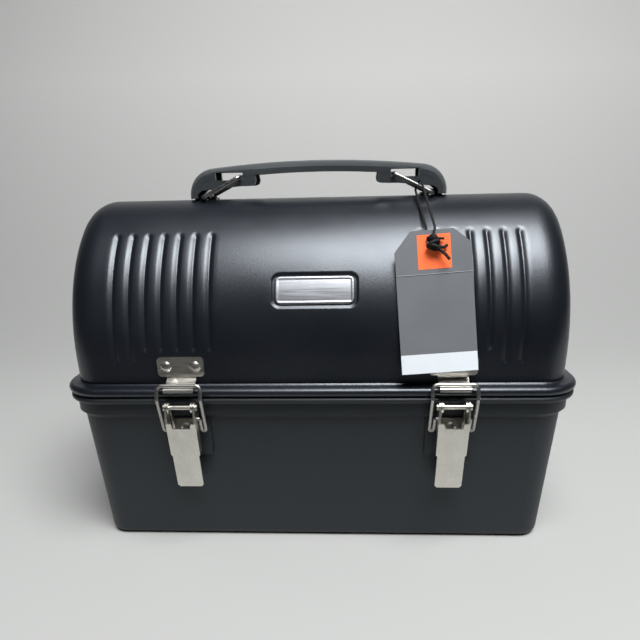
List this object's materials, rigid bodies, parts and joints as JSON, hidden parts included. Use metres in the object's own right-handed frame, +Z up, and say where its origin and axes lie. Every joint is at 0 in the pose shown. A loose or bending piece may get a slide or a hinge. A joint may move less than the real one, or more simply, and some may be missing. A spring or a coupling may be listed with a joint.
{
  "type": "metal lunch box",
  "caption": "Steel lunch box with a domed, grooved lid on two rear hinges, two draw latches and a black drop handle on wire links.",
  "frame": {"origin": "middle of the underside of the body", "axes": "+X to the viewer's right along the length with the latches facing the viewer, +Y to the rear hinges, +Z up"},
  "size_m": [0.335, 0.1783, 0.2532],
  "materials": {
    "body_paint": "fine textured powder coat, near black",
    "lid_paint": "fine textured powder coat, near black",
    "latch_steel": "satin nickel-plated steel",
    "rivet_steel": "dull plated steel",
    "wire_steel": "drawn steel wire",
    "plate_steel": "plain brushed plate",
    "handle_plastic": "semi-gloss black plastic",
    "tag_card": "grey printed-stock card, plain",
    "tag_metal": "dark metal eyelet",
    "cord_black": "waxed round cord"
  },
  "bodies": {
    "body": {"body_shell": "body_paint", "latch_base_left": "latch_steel", "latch_base_right": "latch_steel", "latch_base_rivets": "rivet_steel", "latch_pin_left": "latch_steel", "latch_pin_right": "latch_steel", "hinge_body_leaf_left": "body_paint", "hinge_body_leaf_right": "body_paint", "hinge_pin_left": "wire_steel", "hinge_pin_right": "wire_steel", "hinge_body_rivets": "body_paint"},
    "lid": {"lid_shell": "lid_paint", "name_plate": "plate_steel", "strike_plate_left": "latch_steel", "strike_plate_right": "latch_steel", "strike_rivets": "rivet_steel", "hinge_lid_leaf_left": "body_paint", "hinge_lid_leaf_right": "body_paint", "hinge_lid_rivets": "body_paint", "handle_bracket_left": "lid_paint", "handle_bracket_right": "lid_paint", "bracket_rivets": "lid_paint", "wire_clip_left": "latch_steel", "wire_clip_right": "latch_steel", "wire_catch": "latch_steel", "clip_rivets": "rivet_steel"},
    "lever_left": {"lever_left": "latch_steel"},
    "lever_right": {"lever_right": "latch_steel"},
    "bail_left": {"bail_left": "wire_steel"},
    "bail_right": {"bail_right": "wire_steel"},
    "handle": {"handle_grip": "handle_plastic"},
    "link_left": {"link_left": "wire_steel"},
    "link_right": {"link_right": "wire_steel"},
    "bottle_wire": {"bottle_wire": "wire_steel"},
    "tag": {"hang_tag": "tag_card", "tag_eyelet": "tag_metal", "tag_cord": "cord_black", "tag_knot": "cord_black"}
  },
  "joints": [
    {"name": "lid_hinge", "type": "hinge", "parent": "body", "child": "lid", "pos_m": [0, 0.0865, 0.112], "axis": [-1, 0, 0], "range_deg": [0, 105]},
    {"name": "lever_left_hinge", "type": "hinge", "parent": "body", "child": "lever_left", "pos_m": [-0.0856, -0.085, 0.10645], "axis": [-1, 0, 0], "range_deg": [0, 110]},
    {"name": "bail_left_hinge", "type": "hinge", "parent": "lever_left", "child": "bail_left", "pos_m": [-0.0856, -0.08286, 0.09772], "axis": [1, 0, 0], "range_deg": [0, 100]},
    {"name": "lever_right_hinge", "type": "hinge", "parent": "body", "child": "lever_right", "pos_m": [0.0856, -0.085, 0.10645], "axis": [-1, 0, 0], "range_deg": [0, 110]},
    {"name": "bail_right_hinge", "type": "hinge", "parent": "lever_right", "child": "bail_right", "pos_m": [0.0856, -0.08286, 0.09772], "axis": [1, 0, 0], "range_deg": [0, 100]},
    {"name": "handle_lift", "type": "slide", "parent": "lid", "child": "handle", "axis": [0, 0, 1], "range_m": [0, 0.014]},
    {"name": "link_left_hinge", "type": "hinge", "parent": "lid", "child": "link_left", "pos_m": [-0.0775, 0, 0.2306], "axis": [0, -1, 0], "range_deg": [0, 42]},
    {"name": "link_right_hinge", "type": "hinge", "parent": "lid", "child": "link_right", "pos_m": [0.0775, 0, 0.2306], "axis": [0, 1, 0], "range_deg": [0, 42]},
    {"name": "tag_hang", "type": "hinge", "parent": "link_right", "child": "tag", "pos_m": [0.0666, -0.015, 0.23592], "axis": [0, -1, 0], "range_deg": [0, 42]},
    {"name": "bottle_wire_hinge", "type": "hinge", "parent": "lid", "child": "bottle_wire", "pos_m": [0, 0.0667, 0.1248], "axis": [1, 0, 0], "range_deg": [0, 60]}
  ],
  "couplings": [
    {"joint": "bail_left_hinge", "follows": "lever_left_hinge", "ratio": 0.9},
    {"joint": "bail_right_hinge", "follows": "lever_right_hinge", "ratio": 0.9},
    {"joint": "link_left_hinge", "follows": "handle_lift", "rad_per_m": 51.48},
    {"joint": "link_right_hinge", "follows": "handle_lift", "rad_per_m": 51.48},
    {"joint": "tag_hang", "follows": "handle_lift", "rad_per_m": 51.48}
  ]
}
